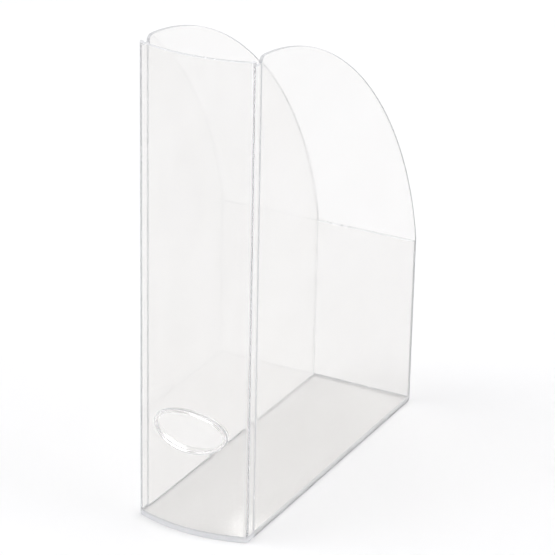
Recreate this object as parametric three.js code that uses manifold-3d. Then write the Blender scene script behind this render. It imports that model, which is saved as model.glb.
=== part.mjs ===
// An upright magazine rack in clear polystyrene, open at the top and at the back.
// Millimetres. X runs across the rack, Y from the bowed spine to the open back, Z up.
// The panels are drawn with y = 0 on the line through the two front corners; the group
// then moves them so that the origin lies under the middle of the whole rack.

import * as THREE from 'three';
import { mergeVertices } from 'three/addons/utils/BufferGeometryUtils.js';
import Module from 'manifold-3d';

// Overall size.
const WIDTH = 82.7;
const SIDE_DEPTH = 249.6;
const SIDE_HEIGHT = 336.2;
const SPINE_HEIGHT = 335;
const WALL = 2.2;

// Spine: how far it bows forward, its corner radius, how far it wraps round the corner, and
// how much lower that wrapped part stops, which leaves a notch in the top edge.
const BOW = 8;
const CORNER_RADIUS = 3.6;
const RETURN_DEPTH = 9.6;
const NOTCH_DEPTH = 3;

// The sweep along the top of each side wall: a rounded crest, then one cubic curve that
// leaves the crest falling a little and meets the upright back edge leaning a little.
const CREST_RADIUS = 4;
const SWEEP_START_Y = 17;
const SWEEP_START_ANGLE = THREE.MathUtils.degToRad(3.9);
const SWEEP_START_HANDLE = 112;
const SWEEP_END_ANGLE = THREE.MathUtils.degToRad(12);
const SWEEP_END_HANDLE = 102;
const BACK_EDGE_HEIGHT = 130.4;
const HEEL_RADIUS = 2.5;

// Floor of the rack and the low wall that closes the bottom of its back.
const BASE_THICKNESS = 3.5;
const REAR_WALL_HEIGHT = 128;
const REAR_WALL_TOP_RADIUS = 1;

// Finger hole in the spine, and the rim that lines it and stands proud inside and out.
const HOLE_WIDTH = 49.5;
const HOLE_HEIGHT = 25.5;
const HOLE_CENTRE_HEIGHT = 75.3;
const RIM_WIDTH = 2;
const RIM_PROUD_OUTSIDE = 0.6;
const RIM_PROUD_INSIDE = 3;
const RIM_GAP = 0.3;

// Width of the bond line between two panels.
const BOND = 0.1;

// Reach of the solids that cut out the hole and its rim, and how finely round stretches are
// divided.
const CUTTER_START = 6;
const CUTTER_LENGTH = 24;
const BAND_MARGIN = 4;
const BAND_SEGMENTS = 40;
const ARC_SEGMENTS = 20;
const OVAL_SEGMENTS = 32;
const CORNER_SEGMENTS = 8;

// Circles that the spine's outer face follows, and the angle at which they meet.
const HALF_WIDTH = WIDTH / 2;
const BOW_RADIUS = (HALF_WIDTH ** 2 + BOW ** 2) / (2 * BOW);
const BOW_CENTRE_Y = BOW_RADIUS - BOW;
const CORNER_CENTRE_X = HALF_WIDTH - CORNER_RADIUS;
const CORNER_DROP = Math.sqrt((BOW_RADIUS - CORNER_RADIUS) ** 2 - CORNER_CENTRE_X ** 2);
const CORNER_CENTRE_Y = BOW_CENTRE_Y - CORNER_DROP;
const MEETING_ANGLE = Math.atan2(-CORNER_DROP, CORNER_CENTRE_X);

const UP = new THREE.Vector3(0, 0, 1);
const ACROSS = new THREE.Vector3(1, 0, 0);
const BACKWARD = new THREE.Vector3(0, 1, 0);
const FORWARD = new THREE.Vector3(0, -1, 0);

const wasm = await Module();
wasm.setup();

const clearPlastic = new THREE.MeshStandardMaterial({
  color: 0xeef1f3,
  roughness: 0.06,
  metalness: 0,
  transparent: true,
  opacity: 0.3,
});

// Arcs from the right return to the left one, on a line `inset` inside the spine's outer face.
function traceSpineFromRight(shape, inset) {
  const cornerRadius = CORNER_RADIUS - inset;
  const leftAngle = -Math.PI - MEETING_ANGLE;
  shape.absarc(CORNER_CENTRE_X, CORNER_CENTRE_Y, cornerRadius, 0, MEETING_ANGLE, true);
  shape.absarc(0, BOW_CENTRE_Y, BOW_RADIUS - inset, MEETING_ANGLE, leftAngle, true);
  shape.absarc(-CORNER_CENTRE_X, CORNER_CENTRE_Y, cornerRadius, leftAngle, -Math.PI, true);
}

// The same arcs from left to right.
function traceSpineFromLeft(shape, inset) {
  const cornerRadius = CORNER_RADIUS - inset;
  const leftAngle = Math.PI - MEETING_ANGLE;
  shape.absarc(-CORNER_CENTRE_X, CORNER_CENTRE_Y, cornerRadius, Math.PI, leftAngle, false);
  shape.absarc(0, BOW_CENTRE_Y, BOW_RADIUS - inset, leftAngle, 2 * Math.PI + MEETING_ANGLE, false);
  shape.absarc(CORNER_CENTRE_X, CORNER_CENTRE_Y, cornerRadius, MEETING_ANGLE, 0, false);
}

function extrude(shape, depth, curveSegments) {
  return new THREE.ExtrudeGeometry(shape, { depth, curveSegments, bevelEnabled: false });
}

// Turns a shape drawn in (y, z) and extruded along its own normal so that the normal is X.
function standAcross(geometry) {
  return geometry.applyMatrix4(new THREE.Matrix4().makeBasis(BACKWARD, UP, ACROSS));
}

// Turns a shape drawn in (x, z) so that it is extruded forward from `startY`.
function standForward(geometry, startY, centreZ) {
  geometry.applyMatrix4(new THREE.Matrix4().makeBasis(ACROSS, UP, FORWARD));
  return geometry.translate(0, startY, centreZ);
}

function toSolid(geometry) {
  const bare = geometry.clone();
  bare.deleteAttribute('normal');
  bare.deleteAttribute('uv');
  const merged = mergeVertices(bare);
  const mesh = new wasm.Mesh({
    numProp: 3,
    vertProperties: new Float32Array(merged.attributes.position.array),
    triVerts: new Uint32Array(merged.index.array),
  });
  return new wasm.Manifold(mesh);
}

function toGeometry(solid) {
  const mesh = solid.getMesh();
  const geometry = new THREE.BufferGeometry();
  geometry.setAttribute('position', new THREE.BufferAttribute(mesh.vertProperties, 3));
  geometry.setIndex(new THREE.BufferAttribute(mesh.triVerts, 1));
  geometry.computeVertexNormals();
  return geometry;
}

function ovalPrism(halfWidth, halfHeight) {
  const oval = new THREE.Shape();
  oval.absellipse(0, 0, halfWidth, halfHeight, 0, 2 * Math.PI, false);
  const prism = extrude(oval, CUTTER_LENGTH, OVAL_SEGMENTS);
  return toSolid(standForward(prism, CUTTER_START, HOLE_CENTRE_HEIGHT));
}

// The floor follows the bowed spine in front, where its edge shows under the spine, and
// fits between the side walls behind.
function basePlate() {
  const halfInside = HALF_WIDTH - WALL - BOND;
  const shoulderY = RETURN_DEPTH - BOND;
  const outline = new THREE.Shape();
  outline.moveTo(HALF_WIDTH, shoulderY);
  traceSpineFromRight(outline, 0);
  outline.lineTo(-HALF_WIDTH, shoulderY);
  outline.lineTo(-halfInside, shoulderY);
  outline.lineTo(-halfInside, SIDE_DEPTH);
  outline.lineTo(halfInside, SIDE_DEPTH);
  outline.lineTo(halfInside, shoulderY);
  return extrude(outline, BASE_THICKNESS, ARC_SEGMENTS);
}

// The bowed spine stands on the floor's front edge. Its rounded corners turn back as far as
// the side walls, a little lower than the spine, and the finger hole goes right through it.
function spinePanel() {
  const shoulderY = RETURN_DEPTH - BOND;
  const outline = new THREE.Shape();
  outline.moveTo(HALF_WIDTH, shoulderY);
  traceSpineFromRight(outline, 0);
  outline.lineTo(-HALF_WIDTH, shoulderY);
  outline.lineTo(-HALF_WIDTH + WALL, shoulderY);
  traceSpineFromLeft(outline, WALL);
  outline.lineTo(HALF_WIDTH - WALL, shoulderY);
  const bottom = BASE_THICKNESS + BOND;
  const panel = extrude(outline, SPINE_HEIGHT - bottom, ARC_SEGMENTS).translate(0, 0, bottom);
  const reach = RIM_WIDTH + RIM_GAP;
  const hole = ovalPrism(HOLE_WIDTH / 2 + reach, HOLE_HEIGHT / 2 + reach);
  const notch = new THREE.BoxGeometry(2 * WIDTH, 2 * RETURN_DEPTH, 2 * NOTCH_DEPTH);
  notch.translate(0, CORNER_CENTRE_Y + RETURN_DEPTH, SPINE_HEIGHT);
  return toGeometry(toSolid(panel).subtract(hole).subtract(toSolid(notch)));
}

// The rim is an oval ring whose front and back both follow the spine's curve.
function fingerHoleRim() {
  const outer = BOW_RADIUS + RIM_PROUD_OUTSIDE;
  const inner = BOW_RADIUS - WALL - RIM_PROUD_INSIDE;
  const band = new THREE.Shape();
  band.absarc(0, BOW_CENTRE_Y, outer, MEETING_ANGLE, -Math.PI - MEETING_ANGLE, true);
  band.absarc(0, BOW_CENTRE_Y, inner, Math.PI - MEETING_ANGLE, 2 * Math.PI + MEETING_ANGLE, false);
  const bandHeight = HOLE_HEIGHT + 2 * BAND_MARGIN;
  const curvedBand = extrude(band, bandHeight, BAND_SEGMENTS);
  curvedBand.translate(0, 0, HOLE_CENTRE_HEIGHT - bandHeight / 2);
  const outside = ovalPrism(HOLE_WIDTH / 2 + RIM_WIDTH, HOLE_HEIGHT / 2 + RIM_WIDTH);
  const inside = ovalPrism(HOLE_WIDTH / 2, HOLE_HEIGHT / 2);
  return toGeometry(outside.intersect(toSolid(curvedBand)).subtract(inside));
}

// A side wall is flat. Its top rises a step above the spine, then sweeps down to the back.
function sideWall(innerX) {
  const outline = new THREE.Shape();
  const crestCentreY = RETURN_DEPTH + CREST_RADIUS;
  const crestCentreZ = SIDE_HEIGHT - CREST_RADIUS;
  outline.moveTo(RETURN_DEPTH, 0);
  outline.lineTo(RETURN_DEPTH, crestCentreZ);
  outline.absarc(crestCentreY, crestCentreZ, CREST_RADIUS, Math.PI, Math.PI / 2, true);
  outline.lineTo(SWEEP_START_Y, SIDE_HEIGHT);
  outline.bezierCurveTo(
    SWEEP_START_Y + SWEEP_START_HANDLE * Math.cos(SWEEP_START_ANGLE),
    SIDE_HEIGHT - SWEEP_START_HANDLE * Math.sin(SWEEP_START_ANGLE),
    SIDE_DEPTH - SWEEP_END_HANDLE * Math.sin(SWEEP_END_ANGLE),
    BACK_EDGE_HEIGHT + SWEEP_END_HANDLE * Math.cos(SWEEP_END_ANGLE),
    SIDE_DEPTH,
    BACK_EDGE_HEIGHT,
  );
  outline.lineTo(SIDE_DEPTH, HEEL_RADIUS);
  outline.absarc(SIDE_DEPTH - HEEL_RADIUS, HEEL_RADIUS, HEEL_RADIUS, 0, -Math.PI / 2, true);
  return standAcross(extrude(outline, WALL, ARC_SEGMENTS)).translate(innerX, 0, 0);
}

// The low rear wall stands on the floor between the side walls, with a rounded top edge.
function rearWall() {
  const halfInside = HALF_WIDTH - WALL - BOND;
  const frontY = SIDE_DEPTH - WALL;
  const bottom = BASE_THICKNESS + BOND;
  const shoulderZ = REAR_WALL_HEIGHT - REAR_WALL_TOP_RADIUS;
  const radius = REAR_WALL_TOP_RADIUS;
  const section = new THREE.Shape();
  section.moveTo(frontY, bottom);
  section.lineTo(SIDE_DEPTH, bottom);
  section.absarc(SIDE_DEPTH - radius, shoulderZ, radius, 0, Math.PI / 2, false);
  section.absarc(frontY + radius, shoulderZ, radius, Math.PI / 2, Math.PI, false);
  const wall = extrude(section, 2 * halfInside, CORNER_SEGMENTS);
  return standAcross(wall).translate(-halfInside, 0, 0);
}

function addPanel(group, name, geometry) {
  const mesh = new THREE.Mesh(geometry, clearPlastic.clone());
  mesh.name = name;
  group.add(mesh);
}

const rack = new THREE.Group();
rack.position.y = (BOW + RIM_PROUD_OUTSIDE - SIDE_DEPTH) / 2;
addPanel(rack, 'base_plate', basePlate());
addPanel(rack, 'spine_panel', spinePanel());
addPanel(rack, 'finger_hole_rim', fingerHoleRim());
addPanel(rack, 'left_side_wall', sideWall(-HALF_WIDTH));
addPanel(rack, 'right_side_wall', sideWall(HALF_WIDTH - WALL));
addPanel(rack, 'rear_wall', rearWall());

export default rack;
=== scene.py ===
"""An upright magazine rack in clear polystyrene, dressed for a plain, pale studio.

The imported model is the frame. Every panel is rebuilt here with rounded edges, in metres, in the
frame's own axes: X runs across the rack, Y from the bowed spine to the open back, Z up.
"""

from __future__ import annotations

import logging
import math
from collections.abc import Callable
from dataclasses import dataclass, field
from enum import Enum

import bpy
from mathutils import Matrix, Vector


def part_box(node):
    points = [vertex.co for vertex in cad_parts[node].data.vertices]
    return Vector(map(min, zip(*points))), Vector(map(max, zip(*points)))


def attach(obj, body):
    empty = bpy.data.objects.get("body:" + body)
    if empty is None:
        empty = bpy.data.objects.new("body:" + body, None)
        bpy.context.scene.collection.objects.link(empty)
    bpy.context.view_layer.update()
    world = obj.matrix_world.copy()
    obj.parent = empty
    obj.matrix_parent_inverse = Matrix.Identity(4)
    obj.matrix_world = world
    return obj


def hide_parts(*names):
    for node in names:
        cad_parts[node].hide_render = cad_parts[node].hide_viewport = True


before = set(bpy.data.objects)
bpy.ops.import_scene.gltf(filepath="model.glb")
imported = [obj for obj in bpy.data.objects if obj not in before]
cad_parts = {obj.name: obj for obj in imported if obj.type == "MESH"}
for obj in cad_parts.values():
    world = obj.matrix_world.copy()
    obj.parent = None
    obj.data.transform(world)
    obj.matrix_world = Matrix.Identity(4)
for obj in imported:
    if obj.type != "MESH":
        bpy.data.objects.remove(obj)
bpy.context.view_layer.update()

LOG = logging.getLogger("magazine_rack")
MM = 0.001
WALL = 2.2 * MM
EDGE_RADIUS = 0.35 * MM

Quad = tuple[int, int, int, int]
Colour = tuple[float, float, float]


class Slot(Enum):
    """The record's material slots."""

    BASE = "clear_base"
    SPINE = "clear_spine"
    RIM = "clear_rim"
    SIDES = "clear_sides"
    REAR = "clear_rear"


class Side(Enum):
    """The side walls, named as someone who faces the spine sees them."""

    LEFT = "left"
    RIGHT = "right"


class Lip(Enum):
    """The two faces of the finger hole's rim, as the way their roundings bulge along Y."""

    OUTER = 1
    INNER = -1


class Coat(Enum):
    """The two coats of a piece, as their places in its list of materials: the plain face, and the edge
    with its painted pale highlight.
    """

    FACE = 0
    EDGE = 1


class Zone(Enum):
    """The stretches of the rack's bowed front, from its middle to the end of the wrapped part."""

    PATCH = "flat enough to hold the finger hole"
    BOW = "rest of the bow"
    CORNER = "rounded corner, up to the notch's edge"
    RETURN = "straight part wrapped along the side"


def spaced(start: float, end: float, steps: int) -> list[float]:
    """Evenly spaced values with both ends.

    Args:
        start: First value.
        end: Last value.
        steps: Number of equal steps between them.

    Returns:
        steps + 1 values.
    """
    return [start + (end - start) * i / steps for i in range(steps + 1)]


def opaque(tint: Colour) -> tuple[float, float, float, float]:
    """A colour with full alpha, as Blender's sockets and ramps take it.

    Args:
        tint: Red, green and blue.

    Returns:
        Red, green, blue and alpha.
    """
    return (*tint, 1.0)


@dataclass
class Sheet:
    """A panel drawn once as quads, with a front and a back place for each of its points.

    Its borders are drawn one edge radius inside the panel's own, and the rounded rim makes that up.
    Where the border turns so far that the directions out of it agree by less than the sharp
    likeness, the corner stays sharp.
    """

    edge_radius: float
    edge_steps: int = 4
    sharp_likeness: float = 0.7
    fronts: list[Vector] = field(default_factory=list)
    backs: list[Vector] = field(default_factory=list)
    quads: list[Quad] = field(default_factory=list)

    def add(self, front: Vector, back: Vector) -> int:
        """Adds a point.

        Args:
            front: Its place on the panel's front face.
            back: Its place on the panel's back face.

        Returns:
            The point's number.
        """
        self.fronts.append(front)
        self.backs.append(back)
        return len(self.fronts) - 1

    def add_grid(self, columns: list[list[int]], skip: Callable[[int, int], bool] | None = None) -> None:
        """Adds the quads between neighbouring columns of points.

        Args:
            columns: Columns of point numbers, all of one length.
            skip: Says which cells, by column and row, are left open.
        """
        for i, (near, far) in enumerate(zip(columns, columns[1:])):
            for j in range(len(near) - 1):
                if skip is None or not skip(i, j):
                    self.quads.append((near[j], far[j], far[j + 1], near[j + 1]))

    def _border(self) -> list[tuple[int, int, int]]:
        """Finds the points on the sheet's borders.

        Returns:
            Each border point between the one before it and the one after it, with the sheet on
            the left of that walk.
        """
        edges = [(a, b) for quad in self.quads for a, b in zip(quad, quad[1:] + quad[:1])]
        known = set(edges)
        after = {a: b for a, b in edges if (b, a) not in known}
        before = {b: a for a, b in after.items()}
        return [(before[point], point, after[point]) for point in after]

    def _rim_section(self, point: int, outward: Vector) -> list[Vector]:
        """The rounded rim's section at one border point, from the front face to the back face.

        Args:
            point: The border point.
            outward: Direction out of the panel, along its faces.

        Returns:
            Points round the front edge, then round the back edge.
        """
        front, back = self.fronts[point], self.backs[point]
        depth = (back - front).normalized()
        turns = spaced(0, math.pi / 2, self.edge_steps)
        section = []
        for face, inward, order in ((front, depth, turns), (back, -depth, turns[::-1])):
            for turn in order:
                section.append(
                    face + self.edge_radius * (math.sin(turn) * outward + (1 - math.cos(turn)) * inward)
                )
        return section

    def mesh(self, name: str) -> bpy.types.Mesh:
        """Builds the closed panel: front faces, back faces and the rounded rim that joins them.

        Args:
            name: Name of the mesh.

        Returns:
            The mesh, with its faces pointing outwards, its rim in the edge coat that paints a pale
            highlight on it, and the corners where the border turns sharply marked sharp.
        """
        shift = len(self.fronts)
        points = self.fronts + self.backs
        chains: dict[int, list[int]] = {}
        sharp: set[frozenset[int]] = set()
        border = self._border()
        # Each border point starts a chain of points round the rim, from its front to its back place.
        for before, point, after in border:
            front = self.fronts[point]
            depth = (self.backs[point] - front).normalized()
            arriving = depth.cross(front - self.fronts[before]).normalized()
            leaving = depth.cross(self.fronts[after] - front).normalized()
            likeness = arriving.dot(leaving)
            section = self._rim_section(point, (arriving + leaving) / (1 + likeness))
            chain = [point, *range(len(points), len(points) + len(section) - 2), point + shift]
            points += section[1:-1]
            chains[point] = chain
            if likeness < self.sharp_likeness:
                sharp.update(frozenset(pair) for pair in zip(chain, chain[1:]))
        faces = self.quads + [tuple(i + shift for i in reversed(quad)) for quad in self.quads]
        for _, point, after in border:
            here, there = chains[point], chains[after]
            for k in range(len(here) - 1):
                faces.append((there[k], here[k], here[k + 1], there[k + 1]))
        # Points over the open cells belong to no face and are left out.
        used = sorted({i for face in faces for i in face})
        number = {old: new for new, old in enumerate(used)}
        mesh = bpy.data.meshes.new(name)
        mesh.from_pydata([points[i] for i in used], [], [[number[i] for i in face] for face in faces])
        # The rim faces take the edge coat with its painted pale highlight.
        for polygon in mesh.polygons[2 * len(self.quads):]:
            polygon.material_index = Coat.EDGE.value
        for edge in mesh.edges:
            edge.use_edge_sharp = frozenset(used[i] for i in edge.vertices) in sharp
        return mesh


@dataclass(frozen=True)
class ClearPlastic:
    """Clear polystyrene as it leaves the mould: glossy, a little wavy, with faint flow streaks.

    Clearness is 1 where all light passes, and less where the surface scatters part of it. A band
    gives the two heights of the streak noise between which a tint or the gloss changes.
    """

    name: str
    tint: Colour = (0.952, 0.948, 0.943)
    streak_tint: Colour = (0.936, 0.932, 0.926)
    streak_band: tuple[float, float] = (0.35, 0.65)
    clearness: float = 1.0
    refraction: float = 1.59
    gloss_range: tuple[float, float] = (0.012, 0.05)
    gloss_band: tuple[float, float] = (0.3, 0.7)
    flow_scale: tuple[float, float, float] = (60.0, 9.0, 22.0)
    flow_turn: tuple[float, float, float] = (0.5, 0.0, 0.0)
    flow_detail: float = 5.0
    flow_roughness: float = 0.55
    flow_distortion: float = 0.4
    wave_scale: float = 14.0
    wave_height: float = 0.02 * MM
    grain_scale: float = 900.0
    grain_height: float = 0.001 * MM
    relief_detail: float = 2.0

    def material(self) -> bpy.types.Material:
        """Builds the node material, or finds it if an earlier piece has it already.

        Returns:
            The material, named after the finish.
        """
        known = bpy.data.materials.get(self.name)
        if known is not None:
            return known
        material = bpy.data.materials.new(self.name)
        material.use_nodes = True
        tree = material.node_tree
        shader = tree.nodes["Principled BSDF"]
        shader.inputs["Transmission Weight"].default_value = self.clearness
        shader.inputs["IOR"].default_value = self.refraction
        place = tree.nodes.new("ShaderNodeTexCoord")
        streaks = self._streaks(tree, place)
        self._dress_colour(tree, streaks, shader)
        self._dress_gloss(tree, streaks, shader)
        self._dress_relief(tree, place, shader)
        return material

    def _streaks(self, tree: bpy.types.NodeTree, place: bpy.types.Node) -> bpy.types.Node:
        """Adds the flow streaks that a melt leaves on its way from the gate.

        Args:
            tree: The material's nodes.
            place: Texture coordinates.

        Returns:
            A noise node, long one way and fine the other.
        """
        mapping = tree.nodes.new("ShaderNodeMapping")
        mapping.inputs["Scale"].default_value = self.flow_scale
        mapping.inputs["Rotation"].default_value = self.flow_turn
        tree.links.new(place.outputs["Object"], mapping.inputs["Vector"])
        noise = tree.nodes.new("ShaderNodeTexNoise")
        noise.inputs["Scale"].default_value = 1.0
        noise.inputs["Detail"].default_value = self.flow_detail
        noise.inputs["Roughness"].default_value = self.flow_roughness
        noise.inputs["Distortion"].default_value = self.flow_distortion
        tree.links.new(mapping.outputs["Vector"], noise.inputs["Vector"])
        return noise

    def _dress_colour(
        self, tree: bpy.types.NodeTree, streaks: bpy.types.Node, shader: bpy.types.Node
    ) -> None:
        """Lets the streaks vary the plastic's faint tint.

        Args:
            tree: The material's nodes.
            streaks: The streak noise.
            shader: The surface shader.
        """
        ramp = tree.nodes.new("ShaderNodeValToRGB")
        tints = (self.streak_tint, self.tint)
        for element, position, tint in zip(ramp.color_ramp.elements, self.streak_band, tints):
            element.position = position
            element.color = opaque(tint)
        tree.links.new(streaks.outputs["Fac"], ramp.inputs["Fac"])
        tree.links.new(ramp.outputs["Color"], shader.inputs["Base Color"])

    def _dress_gloss(
        self, tree: bpy.types.NodeTree, streaks: bpy.types.Node, shader: bpy.types.Node
    ) -> None:
        """Lets the streaks dull the gloss a little.

        Args:
            tree: The material's nodes.
            streaks: The streak noise.
            shader: The surface shader.
        """
        gloss = tree.nodes.new("ShaderNodeMapRange")
        ends = ("From Min", "From Max", "To Min", "To Max")
        for end, value in zip(ends, self.gloss_band + self.gloss_range):
            gloss.inputs[end].default_value = value
        tree.links.new(streaks.outputs["Fac"], gloss.inputs["Value"])
        tree.links.new(gloss.outputs["Result"], shader.inputs["Roughness"])

    def _dress_relief(
        self, tree: bpy.types.NodeTree, place: bpy.types.Node, shader: bpy.types.Node
    ) -> None:
        """Adds the slow waviness of a thin moulded wall and a very fine surface grain.

        Args:
            tree: The material's nodes.
            place: Texture coordinates.
            shader: The surface shader.
        """
        normal = None
        waves = (self.wave_scale, self.wave_height)
        grain = (self.grain_scale, self.grain_height)
        for scale, height in (waves, grain):
            noise = tree.nodes.new("ShaderNodeTexNoise")
            noise.inputs["Scale"].default_value = scale
            noise.inputs["Detail"].default_value = self.relief_detail
            tree.links.new(place.outputs["Object"], noise.inputs["Vector"])
            bump = tree.nodes.new("ShaderNodeBump")
            bump.inputs["Distance"].default_value = height
            tree.links.new(noise.outputs["Fac"], bump.inputs["Height"])
            if normal is not None:
                tree.links.new(normal, bump.inputs["Normal"])
            normal = bump.outputs["Normal"]
        tree.links.new(normal, shader.inputs["Normal"])


# The side walls are a shade deeper than the rest. Every edge gets a painted highlight: a pale,
# part-diffuse coat in place of the bright look that light gives clear edges.
CLEAR_SIDES = ClearPlastic(
    "clear_side_plastic",
    tint=(0.944, 0.939, 0.931),
    streak_tint=(0.926, 0.920, 0.911),
)
# Painted highlight for the rims of all panels: paler, bluer and only partly clear, so the edges read
# bright.
EDGE_PAINTED_HIGHLIGHT = ClearPlastic(
    "edge_painted_highlight_plastic",
    tint=(0.925, 0.93, 0.948),
    streak_tint=(0.895, 0.902, 0.924),
    clearness=0.35,
    gloss_range=(0.15, 0.3),
)


@dataclass(frozen=True)
class BowedFront:
    """The outline that the spine, its rim and the floor share, seen from above.

    A bow runs across the front, a rounded corner turns each end of it, and a short straight part
    follows the side. A depth is measured inwards from the outer face.
    """

    half_width: float
    front_y: float
    shoulder_y: float
    bow: float = 8 * MM
    corner_radius: float = 3.6 * MM
    patch_half: float = 34 * MM
    edge_radius: float = EDGE_RADIUS

    @property
    def radius(self) -> float:
        """Radius of the bow."""
        return (self.half_width**2 + self.bow**2) / (2 * self.bow)

    @property
    def centre_y(self) -> float:
        """Y of the bow's centre."""
        return self.front_y + self.radius

    @property
    def corner_x(self) -> float:
        """X of the right corner's centre."""
        return self.half_width - self.corner_radius

    @property
    def corner_drop(self) -> float:
        """How far the corners' centres lie in front of the bow's centre."""
        return math.sqrt((self.radius - self.corner_radius) ** 2 - self.corner_x**2)

    @property
    def corner_y(self) -> float:
        """Y of the corners' centres."""
        return self.centre_y - self.corner_drop

    @property
    def meeting_angle(self) -> float:
        """Angle from straight ahead at which the bow and a corner meet."""
        return math.atan2(self.corner_x, self.corner_drop)

    def bow_y(self, x: float, depth: float) -> float:
        """Y of the bow.

        Args:
            x: Place across the rack.
            depth: Distance inside the outer face.

        Returns:
            Y of that point.
        """
        return self.centre_y - math.sqrt((self.radius - depth) ** 2 - x**2)

    def point(self, zone: Zone, share: float, depth: float) -> tuple[float, float]:
        """A point on the right half of the outline.

        Args:
            zone: The stretch it is on.
            share: 0 at the stretch's start, 1 at its end.
            depth: Distance inside the outer face.

        Returns:
            Its X and Y.
        """
        if zone is Zone.PATCH:
            x = share * self.patch_half
            return x, self.bow_y(x, depth)
        if zone is Zone.BOW:
            start = math.asin(self.patch_half / (self.radius - depth))
            angle = start + share * (self.meeting_angle - start)
            reach = self.radius - depth
            return reach * math.sin(angle), self.centre_y - reach * math.cos(angle)
        if zone is Zone.RETURN:
            end = self.shoulder_y - self.edge_radius
            return self.half_width - depth, self.corner_y + share * (end - self.corner_y)
        reach = self.corner_radius - depth
        end = math.acos(self.edge_radius / reach)
        angle = self.meeting_angle + share * (end - self.meeting_angle)
        return self.corner_x + reach * math.sin(angle), self.corner_y - reach * math.cos(angle)

    def trace(self, stations: list[tuple[Zone, float]], depth: float) -> list[tuple[float, float]]:
        """The whole outline from the left shoulder to the right one.

        Args:
            stations: Zones and shares on the right half, from the middle outwards.
            depth: Distance inside the outer face.

        Returns:
            X and Y of each station's mirror image, then of each station.
        """
        right = [self.point(zone, share, depth) for zone, share in stations]
        left = [(-x, y) for x, y in reversed(right[1:])]
        return left + right


@dataclass(frozen=True)
class FingerHole:
    """The oval hole in the spine, the rim that lines it, and the gap between that rim and the spine."""

    centre_z: float
    half_width: float = 24.75 * MM
    half_height: float = 12.75 * MM
    rim_width: float = 2 * MM
    rim_gap: float = 0.3 * MM

    def edge(self, angle: float, grow: float) -> tuple[float, float]:
        """A point on the oval.

        Args:
            angle: Angle round the oval, from +X towards +Z.
            grow: How much larger each half size is than the hole's own.

        Returns:
            Its X and Z.
        """
        x = (self.half_width + grow) * math.cos(angle)
        return x, self.centre_z + (self.half_height + grow) * math.sin(angle)


@dataclass
class Panel:
    """What every piece of the rack shares: its node, its slot, its finish, its edge coat with a painted
    pale highlight, and its edge rounding.

    The flat pull is how far large faces outweigh small ones in the shading, where 50 is even.
    """

    node: str
    slot: Slot
    finish: ClearPlastic
    edge_highlight_coat: ClearPlastic = EDGE_PAINTED_HIGHLIGHT
    edge_radius: float = EDGE_RADIUS
    flat_pull: int = 100
    low: Vector = field(init=False)
    high: Vector = field(init=False)

    def __post_init__(self) -> None:
        """Takes the piece's lowest and highest corners from its CAD node."""
        self.low, self.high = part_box(self.node)

    def mesh(self) -> bpy.types.Mesh:
        """Builds the piece's mesh, in the frame's place."""
        raise NotImplementedError

    def build(self) -> bpy.types.Object:
        """Builds the piece, dresses it and ties it to its CAD node.

        Returns:
            The finished piece.
        """
        mesh = self.mesh()
        mesh.polygons.foreach_set("use_smooth", [True] * len(mesh.polygons))
        mesh.materials.append(self.finish.material())
        # Pieces with rim faces also get the edge coat, whose pale tint is a painted highlight.
        if any(polygon.material_index == Coat.EDGE.value for polygon in mesh.polygons):
            mesh.materials.append(self.edge_highlight_coat.material())
        piece = bpy.data.objects.new(f"fine_{self.node}", mesh)
        bpy.context.scene.collection.objects.link(piece)
        flatness = piece.modifiers.new("flat_faces_stay_flat", "WEIGHTED_NORMAL")
        flatness.weight = self.flat_pull
        flatness.keep_sharp = True
        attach(piece, "root")
        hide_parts(self.node)
        return piece


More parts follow.
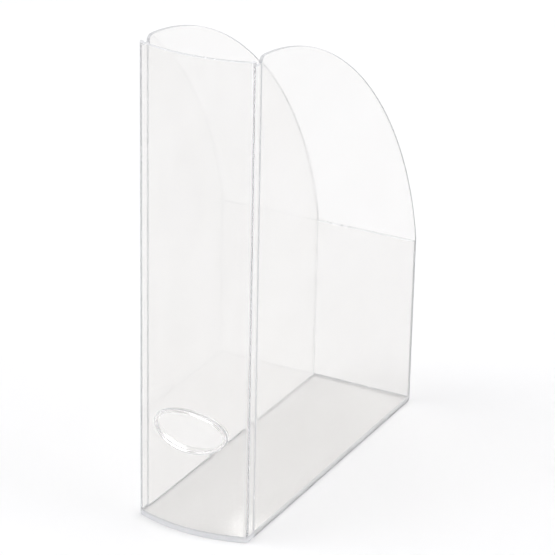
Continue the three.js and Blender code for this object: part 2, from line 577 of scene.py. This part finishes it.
@dataclass
class SpinePanel(Panel):
    """The bowed spine: it wraps round both front corners and holds the finger hole."""

    front: BowedFront = field(kw_only=True)
    hole: FingerHole = field(kw_only=True)
    wall: float = WALL
    notch_depth: float = 3 * MM
    patch_half_height: float = 21 * MM
    patch_steps: int = 16
    patch_rows: int = 20
    bow_steps: int = 3
    corner_steps: int = 10
    return_steps: int = 3
    lower_rows: int = 8
    upper_rows: int = 30
    ring_steps: int = 4

    def _stations(self) -> list[tuple[Zone, float]]:
        """Stations on the right half of the front, from the middle outwards."""
        steps = (
            (Zone.PATCH, self.patch_steps),
            (Zone.BOW, self.bow_steps),
            (Zone.CORNER, self.corner_steps),
            (Zone.RETURN, self.return_steps),
        )
        stations = [(Zone.PATCH, 0.0)]
        for zone, count in steps:
            stations += [(zone, share) for share in spaced(0, 1, count)[1:]]
        return stations

    def _heights(self) -> list[float]:
        """Heights of the rows, with the patch round the hole and the notch as rows of their own."""
        patch_low = self.hole.centre_z - self.patch_half_height
        patch_high = self.hole.centre_z + self.patch_half_height
        top = self.high.z - self.edge_radius
        heights = spaced(self.low.z + self.edge_radius, patch_low, self.lower_rows)
        heights += spaced(patch_low, patch_high, self.patch_rows)[1:]
        heights += spaced(patch_high, top - self.notch_depth, self.upper_rows)[1:]
        return heights + [top]

    def _add_hole(self, sheet: Sheet, border: list[int]) -> None:
        """Joins the open patch to the oval hole by rings of quads.

        Args:
            sheet: The spine's sheet.
            border: The patch's outer points in order, counter-clockwise from outside.
        """
        grow = self.hole.rim_width + self.hole.rim_gap + self.edge_radius
        starts = [sheet.fronts[i] for i in border]
        places = []
        for start in starts:
            up = (start.z - self.hole.centre_z) / self.patch_half_height
            places.append(self.hole.edge(math.atan2(up, start.x / self.front.patch_half), grow))
        ring = border
        for share in spaced(0, 1, self.ring_steps)[1:]:
            following = []
            for start, (edge_x, edge_z) in zip(starts, places):
                x = start.x + share * (edge_x - start.x)
                z = start.z + share * (edge_z - start.z)
                outside = Vector((x, self.front.bow_y(x, 0), z))
                following.append(sheet.add(outside, Vector((x, self.front.bow_y(x, self.wall), z))))
            for k in range(len(ring)):
                n = (k + 1) % len(ring)
                sheet.quads.append((ring[k], ring[n], following[n], following[k]))
            ring = following

    def mesh(self) -> bpy.types.Mesh:
        """Builds the spine from columns of quads with an oval patch round the hole."""
        stations = self._stations()
        outside = self.front.trace(stations, 0)
        inside = self.front.trace(stations, self.wall)
        heights = self._heights()
        sheet = Sheet(self.edge_radius)
        columns = []
        for (x, y), (inner_x, inner_y) in zip(outside, inside):
            columns.append(
                [sheet.add(Vector((x, y, z)), Vector((inner_x, inner_y, z))) for z in heights]
            )
        middle = len(stations) - 1
        left, right = middle - self.patch_steps, middle + self.patch_steps
        bottom, top = self.lower_rows, self.lower_rows + self.patch_rows
        last_row = len(heights) - 2
        beside_notch = self.return_steps

        def open_cell(i: int, j: int) -> bool:
            """True for the patch round the hole and for the notch above each wrapped part."""
            in_patch = left <= i < right and bottom <= j < top
            in_notch = j == last_row and (i < beside_notch or i >= 2 * middle - beside_notch)
            return in_patch or in_notch

        sheet.add_grid(columns, open_cell)
        # Once round the patch: along its bottom, up its right side, back along its top and down.
        border = [columns[i][bottom] for i in range(left, right)]
        border += [columns[right][j] for j in range(bottom, top)]
        border += [columns[i][top] for i in range(right, left, -1)]
        border += [columns[left][j] for j in range(top, bottom, -1)]
        self._add_hole(sheet, border)
        return sheet.mesh(self.node)


@dataclass
class FingerHoleRim(Panel):
    """The rounded rim that lines the finger hole and stands proud of the spine inside and out."""

    front: BowedFront = field(kw_only=True)
    hole: FingerHole = field(kw_only=True)
    wall: float = WALL
    proud_outside: float = 0.6 * MM
    proud_inside: float = 3 * MM
    lip_radius: float = 0.7 * MM
    lip_steps: int = 5
    turns: int = 128

    def _section(self) -> list[tuple[Lip, float, float]]:
        """The rim's section, a rectangle with four rounded corners.

        Returns:
            For each point its lip, its distance from the hole's edge, and how far it lies behind
            that lip's face.
        """
        near, far = self.lip_radius, self.hole.rim_width - self.lip_radius
        corners = ((Lip.OUTER, far), (Lip.OUTER, near), (Lip.INNER, near), (Lip.INNER, far))
        points = []
        for number, (lip, across) in enumerate(corners):
            start = number * math.pi / 2
            for turn in spaced(start, start + math.pi / 2, self.lip_steps):
                behind = lip.value * self.lip_radius - self.lip_radius * math.sin(turn)
                points.append((lip, across + self.lip_radius * math.cos(turn), behind))
        return points

    def mesh(self) -> bpy.types.Mesh:
        """Sweeps the section round the oval, each point following the bow of the spine."""
        section = self._section()
        points = []
        for turn in range(self.turns):
            angle = 2 * math.pi * turn / self.turns
            for lip, grow, behind in section:
                x, z = self.hole.edge(angle, grow)
                if lip is Lip.OUTER:
                    face = self.front.bow_y(x, 0) - self.proud_outside
                else:
                    face = self.front.bow_y(x, self.wall) + self.proud_inside
                points.append((x, face + behind, z))
        count = len(section)
        faces = []
        for turn in range(self.turns):
            here, there = turn * count, (turn + 1) % self.turns * count
            for k in range(count):
                n = (k + 1) % count
                faces.append((here + k, there + k, there + n, here + n))
        mesh = bpy.data.meshes.new(self.node)
        mesh.from_pydata(points, [], faces)
        mesh.validate()
        return mesh


@dataclass
class SideWall(Panel):
    """One side wall: straight below, with a rounded crest and one long sweep down to its back.

    The heel's fade is the power by which its rounding dies away in the columns before the last.
    """

    side: Side = field(kw_only=True)
    crest_radius: float = 4 * MM
    crest_flat: float = 3.4 * MM
    sweep_start_angle: float = math.radians(3.9)
    sweep_start_handle: float = 112 * MM
    sweep_end_angle: float = math.radians(12)
    sweep_end_handle: float = 102 * MM
    back_edge_height: float = 130.4 * MM
    heel_radius: float = 2.5 * MM
    heel_fade: int = 40
    crest_steps: int = 10
    sweep_steps: int = 60
    back_steps: int = 20
    rows: int = 18

    @staticmethod
    def _arc(centre: Vector, radius: float, start: float, end: float, steps: int) -> list[Vector]:
        """An arc in the wall's own plane.

        Args:
            centre: Its centre.
            radius: Its radius.
            start: Its first angle, from +Y towards +Z.
            end: Its last angle.
            steps: How many chords it is made of.

        Returns:
            Points from start to end.
        """
        turns = spaced(start, end, steps)
        return [centre + radius * Vector((0, math.cos(turn), math.sin(turn))) for turn in turns]

    def _top_edge(self) -> list[Vector]:
        """The upper outline, from the top of the front edge over the crest to the heel.

        Returns:
            Points with X left at zero.
        """
        crest = Vector((0, self.low.y + self.crest_radius, self.high.z - self.crest_radius))
        radius = self.crest_radius - self.edge_radius
        points = self._arc(crest, radius, math.pi, math.pi / 2, self.crest_steps)
        start = Vector((0, self.low.y + self.crest_radius + self.crest_flat, self.high.z))
        end = Vector((0, self.high.y, self.low.z + self.back_edge_height))
        leave = Vector((0, math.cos(self.sweep_start_angle), -math.sin(self.sweep_start_angle)))
        arrive = Vector((0, math.sin(self.sweep_end_angle), -math.cos(self.sweep_end_angle)))
        first = start + self.sweep_start_handle * leave
        second = end - self.sweep_end_handle * arrive
        for t in spaced(0, 1, self.sweep_steps):
            u = 1 - t
            place = u**3 * start + 3 * u * u * t * first + 3 * u * t * t * second + t**3 * end
            along = u * u * (first - start) + 2 * u * t * (second - first) + t * t * (end - second)
            along.normalize()
            points.append(place - self.edge_radius * Vector((0, -along.z, along.y)))
        foot = Vector((0, self.high.y - self.edge_radius, self.low.z + self.heel_radius))
        head = points[-1]
        return points + [head.lerp(foot, share) for share in spaced(0, 1, self.back_steps)[1:]]

    def _columns(self) -> list[list[Vector]]:
        """Columns from the bottom edge up to each point of the top edge, the last one round the heel.

        Returns:
            Columns of points with X left at zero.
        """
        top = self._top_edge()
        heel = Vector((0, self.high.y - self.heel_radius, self.low.z + self.heel_radius))
        radius = self.heel_radius - self.edge_radius
        rounded = self._arc(heel, radius, -math.pi / 2, 0, self.rows)
        front = Vector((0, self.low.y + self.edge_radius, self.low.z + self.edge_radius))
        columns = []
        for head, share in zip(top, spaced(0, 1, len(top) - 1)):
            foot = front.lerp(rounded[0], share)
            column = []
            for rise, on_heel in zip(spaced(0, 1, self.rows), rounded):
                bulge = on_heel - rounded[0].lerp(rounded[-1], rise)
                column.append(foot.lerp(head, rise) + bulge * share**self.heel_fade)
            columns.append(column)
        return columns

    def mesh(self) -> bpy.types.Mesh:
        """Builds the wall as columns that run from the bottom edge to the sweep."""
        outer_x, inner_x = self.high.x, self.low.x
        columns = self._columns()
        if self.side is Side.LEFT:
            outer_x, inner_x = inner_x, outer_x
            columns.reverse()
        sheet = Sheet(self.edge_radius)
        outward, inward = Vector((outer_x, 0, 0)), Vector((inner_x, 0, 0))
        sheet.add_grid([[sheet.add(at + outward, at + inward) for at in column] for column in columns])
        return sheet.mesh(self.node)


@dataclass
class BasePlate(Panel):
    """The floor: its front edge follows the bow and shows under the spine."""

    front: BowedFront = field(kw_only=True)
    side_wall: str = "right_side_wall"
    bond: float = 0.1 * MM
    middle_steps: int = 16
    bow_steps: int = 2
    corner_steps: int = 10
    front_rows: int = 3
    rear_rows: int = 24

    def _lines(self) -> list[tuple[float, float, float]]:
        """Lines that run back from the front edge.

        Returns:
            For each line from left to right: its X and Y at the front edge, and its X at the
            shoulder, where the plate narrows to fit between the side walls.
        """
        stations = [(Zone.PATCH, share) for share in spaced(0, 1, self.middle_steps)]
        stations += [(Zone.BOW, share) for share in spaced(0, 1, self.bow_steps)[1:]]
        stations += [(Zone.CORNER, share) for share in spaced(0, 1, self.corner_steps)[1:]]
        meeting_x = self.front.point(Zone.BOW, 1.0, self.edge_radius)[0]
        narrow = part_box(self.side_wall)[0].x - self.bond - self.edge_radius
        wide = self.front.half_width - self.edge_radius
        first_wide = narrow + 2 * self.edge_radius
        lines = []
        for zone, share in stations:
            x, y = self.front.point(zone, share, self.edge_radius)
            shoulder_x = x * narrow / meeting_x
            if zone is Zone.CORNER:
                shoulder_x = first_wide + share * (wide - first_wide)
            lines.append((x, y, shoulder_x))
        return [(-x, y, -shoulder_x) for x, y, shoulder_x in reversed(lines[1:])] + lines

    def mesh(self) -> bpy.types.Mesh:
        """Builds the plate as lines that run back, the outermost ones only to the shoulder."""
        shoulder_y = self.front.shoulder_y - self.edge_radius
        backs = spaced(shoulder_y, self.high.y - self.edge_radius, self.rear_rows)[1:]
        sheet = Sheet(self.edge_radius)
        columns = []
        for x, y, shoulder_x in self._lines():
            places = [
                (x + (shoulder_x - x) * share, y + (shoulder_y - y) * share)
                for share in spaced(0, 1, self.front_rows)
            ]
            places += [(shoulder_x, back) for back in backs]
            tops = [Vector((*place, self.high.z)) for place in places]
            undersides = [Vector((*place, self.low.z)) for place in places]
            columns.append([sheet.add(top, underside) for top, underside in zip(tops, undersides)])
        last = len(columns) - 1

        def beside_plate(i: int, j: int) -> bool:
            """True behind the shoulder, outside the part that fits between the side walls."""
            return j >= self.front_rows and (i < self.corner_steps or i >= last - self.corner_steps)

        sheet.add_grid(columns, beside_plate)
        return sheet.mesh(self.node)


@dataclass
class RearWall(Panel):
    """The low wall that closes the bottom of the back, with a rounded top edge.

    A face that points less along Y than the flat likeness takes the edge coat, a painted pale highlight.
    """

    top_radius: float = 1 * MM
    columns: int = 16
    rows: int = 24
    arc_steps: int = 6
    flat_likeness: float = 0.95

    def _section(self) -> list[tuple[float, float]]:
        """The wall's section, from its foot up the back, over the top and down the inside.

        Returns:
            Y and Z of each point.
        """
        corners = (
            (self.high.y, -1, self.low.z, 1, self.edge_radius, -math.pi / 2),
            (self.high.y, -1, self.high.z, -1, self.top_radius, 0.0),
            (self.low.y, 1, self.high.z, -1, self.top_radius, math.pi / 2),
            (self.low.y, 1, self.low.z, 1, self.edge_radius, math.pi),
        )
        points = []
        for y, y_way, z, z_way, radius, start in corners:
            if points:
                last_y, last_z = points[-1]
                first_y = y + y_way * radius + radius * math.cos(start)
                first_z = z + z_way * radius + radius * math.sin(start)
                steps = self.rows if abs(first_z - last_z) > abs(first_y - last_y) else 1
                for share in spaced(0, 1, steps)[1:-1]:
                    place_y = last_y + (first_y - last_y) * share
                    points.append((place_y, last_z + (first_z - last_z) * share))
            for turn in spaced(start, start + math.pi / 2, self.arc_steps):
                place_y = y + radius * (y_way + math.cos(turn))
                points.append((place_y, z + radius * (z_way + math.sin(turn))))
        return points

    def mesh(self) -> bpy.types.Mesh:
        """Draws the section out between the side walls and closes both ends."""
        section = self._section()
        count = len(section)
        places = spaced(self.low.x, self.high.x, self.columns)
        points = [(x, y, z) for x in places for y, z in section]
        left_end = range(count)
        right_end = range(count * self.columns, count * (self.columns + 1))
        faces = [tuple(reversed(left_end)), tuple(right_end)]
        for column in range(self.columns):
            here, there = column * count, (column + 1) * count
            for k in range(count):
                n = (k + 1) % count
                faces.append((here + k, here + n, there + n, there + k))
        mesh = bpy.data.meshes.new(self.node)
        mesh.from_pydata(points, [], faces)
        ends = {self.low.x, self.high.x}
        for edge in mesh.edges:
            a, b = (points[i][0] for i in edge.vertices)
            edge.use_edge_sharp = a == b and a in ends
        for polygon in mesh.polygons:
            coat = Coat.EDGE if abs(polygon.normal.y) < self.flat_likeness else Coat.FACE
            polygon.material_index = coat.value
        return mesh


@dataclass(frozen=True)
class Softbox:
    """A large, soft, rectangular lamp."""

    name: str
    place: tuple[float, float, float]
    aim: tuple[float, float, float]
    size: tuple[float, float]
    power: float

    def build(self) -> None:
        """Hangs the lamp and turns it to its aim."""
        light = bpy.data.lights.new(self.name, "AREA")
        light.shape = "RECTANGLE"
        light.size, light.size_y = self.size
        light.energy = self.power
        lamp = bpy.data.objects.new(self.name, light)
        lamp.location = self.place
        direction = Vector(self.aim) - Vector(self.place)
        lamp.rotation_euler = direction.to_track_quat("-Z", "Y").to_euler()
        bpy.context.scene.collection.objects.link(lamp)


@dataclass(frozen=True)
class Viewpoint:
    """The camera: where it stands, which way it looks, how long its lens is and how far it sees."""

    place: tuple[float, float, float] = (0.7761, -1.4887, 0.8641)
    yaw: float = math.radians(27.625)
    pitch: float = math.radians(23.395)
    roll: float = math.radians(1.17)
    lens: float = 173.27
    sensor: float = 36.0
    sight: float = 50.0

    def build(self) -> None:
        """Sets the camera up and makes it the scene's."""
        level = math.cos(self.pitch)
        ahead = Vector((-math.sin(self.yaw) * level, math.cos(self.yaw) * level, -math.sin(self.pitch)))
        right = Vector((math.cos(self.yaw), math.sin(self.yaw), 0))
        up = right.cross(ahead)
        tilted_right = math.cos(self.roll) * right + math.sin(self.roll) * up
        tilted_up = math.cos(self.roll) * up - math.sin(self.roll) * right
        turn = Matrix((tilted_right, tilted_up, -ahead)).transposed()
        data = bpy.data.cameras.new("camera")
        data.lens = self.lens
        data.sensor_width = self.sensor
        data.clip_end = self.sight
        camera = bpy.data.objects.new("camera", data)
        camera.matrix_world = Matrix.Translation(self.place) @ turn.to_4x4()
        bpy.context.scene.collection.objects.link(camera)
        bpy.context.scene.camera = camera


@dataclass(frozen=True)
class Studio:
    """A pale floor under a soft, even sky, with softboxes and darker air overhead.

    The sky's heights are the sine of the angle above level. Light that is thrown back inside a clear
    edge counts as glossy, so the bounce limits are high: with fewer, the edges turn black. Glossy
    blur is off, because it darkens the floor that is seen through the plastic.
    """

    floor_half: float = 6.0
    floor_tint: Colour = (0.93, 0.93, 0.93)
    floor_roughness: float = 0.9
    floor_shine: float = 0.1
    floor_drop: float = 0.2 * MM
    skyline: Colour = (0.716, 0.715, 0.722)
    horizon: Colour = (0.97, 0.967, 0.967)
    horizon_heights: tuple[float, float] = (0.12, 0.3)
    zenith: Colour = (0.62, 0.62, 0.64)
    zenith_height: float = 0.9
    sky_strength: float = 0.86
    transmission_bounces: int = 48
    glossy_bounces: int = 64
    max_bounces: int = 96
    glossy_blur: float = 0.0
    softboxes: tuple[Softbox, ...] = (
        Softbox("key", (-1.6, -1.2, 2.4), (0, 0, 0.1), (1.8, 1.8), 28.0),
        Softbox("fill", (1.9, 0.3, 1.9), (0, 0, 0.1), (1.4, 1.4), 14.0),
        Softbox("back", (-0.3, 2.4, 2.2), (-0.3, 0.7, 0.0), (2.6, 1.2), 21.0),
    )

    def build(self) -> None:
        """Lays the floor, lights it and sets how brightness is shown and how far light is followed."""
        self._lay_floor()
        self._paint_sky()
        for softbox in self.softboxes:
            softbox.build()
        scene = bpy.context.scene
        scene.view_settings.view_transform = "Standard"
        scene.cycles.transmission_bounces = self.transmission_bounces
        scene.cycles.glossy_bounces = self.glossy_bounces
        scene.cycles.max_bounces = self.max_bounces
        scene.cycles.blur_glossy = self.glossy_blur

    def _lay_floor(self) -> None:
        """Lays a wide, matt, pale floor."""
        half = self.floor_half
        corners = [(-half, -half), (half, -half), (half, half), (-half, half)]
        mesh = bpy.data.meshes.new("studio_floor")
        mesh.from_pydata([(x, y, -self.floor_drop) for x, y in corners], [], [(0, 1, 2, 3)])
        material = bpy.data.materials.new("studio_floor")
        material.use_nodes = True
        shader = material.node_tree.nodes["Principled BSDF"]
        shader.inputs["Base Color"].default_value = opaque(self.floor_tint)
        shader.inputs["Roughness"].default_value = self.floor_roughness
        shader.inputs["Specular IOR Level"].default_value = self.floor_shine
        mesh.materials.append(material)
        floor = bpy.data.objects.new("studio_floor", mesh)
        bpy.context.scene.collection.objects.link(floor)

    def _paint_sky(self) -> None:
        """Paints a soft sky that darkens upwards and meets the far end of the floor in its tone."""
        world = bpy.data.worlds.new("studio_sky")
        world.use_nodes = True
        bpy.context.scene.world = world
        tree = world.node_tree
        background = tree.nodes["Background"]
        place = tree.nodes.new("ShaderNodeTexCoord")
        split = tree.nodes.new("ShaderNodeSeparateXYZ")
        ramp = tree.nodes.new("ShaderNodeValToRGB")
        ramp.color_ramp.elements[0].color = opaque(self.skyline)
        ramp.color_ramp.elements[1].position = self.zenith_height
        ramp.color_ramp.elements[1].color = opaque(self.zenith)
        for height in self.horizon_heights:
            ramp.color_ramp.elements.new(height).color = opaque(self.horizon)
        tree.links.new(place.outputs["Generated"], split.inputs["Vector"])
        tree.links.new(split.outputs["Z"], ramp.inputs["Fac"])
        tree.links.new(ramp.outputs["Color"], background.inputs["Color"])
        background.inputs["Strength"].default_value = self.sky_strength


def main() -> None:
    """Builds the rack and its studio, and reports each piece."""
    logging.basicConfig(level=logging.INFO, format="%(name)s: %(message)s")
    Viewpoint().build()
    Studio().build()
    spine_low, spine_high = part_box("spine_panel")
    front = BowedFront(half_width=spine_high.x, front_y=spine_low.y, shoulder_y=spine_high.y)
    rim_low, rim_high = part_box("finger_hole_rim")
    hole = FingerHole(centre_z=(rim_low.z + rim_high.z) / 2)
    panels: list[Panel] = [
        SpinePanel(
            "spine_panel", Slot.SPINE, ClearPlastic("clear_spine_plastic"), front=front, hole=hole
        ),
        FingerHoleRim(
            "finger_hole_rim", Slot.RIM, ClearPlastic("clear_rim_plastic"), front=front, hole=hole
        ),
        BasePlate("base_plate", Slot.BASE, ClearPlastic("clear_base_plastic"), front=front),
        RearWall("rear_wall", Slot.REAR, ClearPlastic("clear_rear_plastic")),
    ]
    for side in Side:
        node = f"{side.value}_side_wall"
        panels.append(SideWall(node, Slot.SIDES, CLEAR_SIDES, side=side))
    for panel in panels:
        piece = panel.build()
        LOG.info("%s stands for %s in %s", piece.name, panel.node, panel.slot.value)


if __name__ == "__main__":
    main()
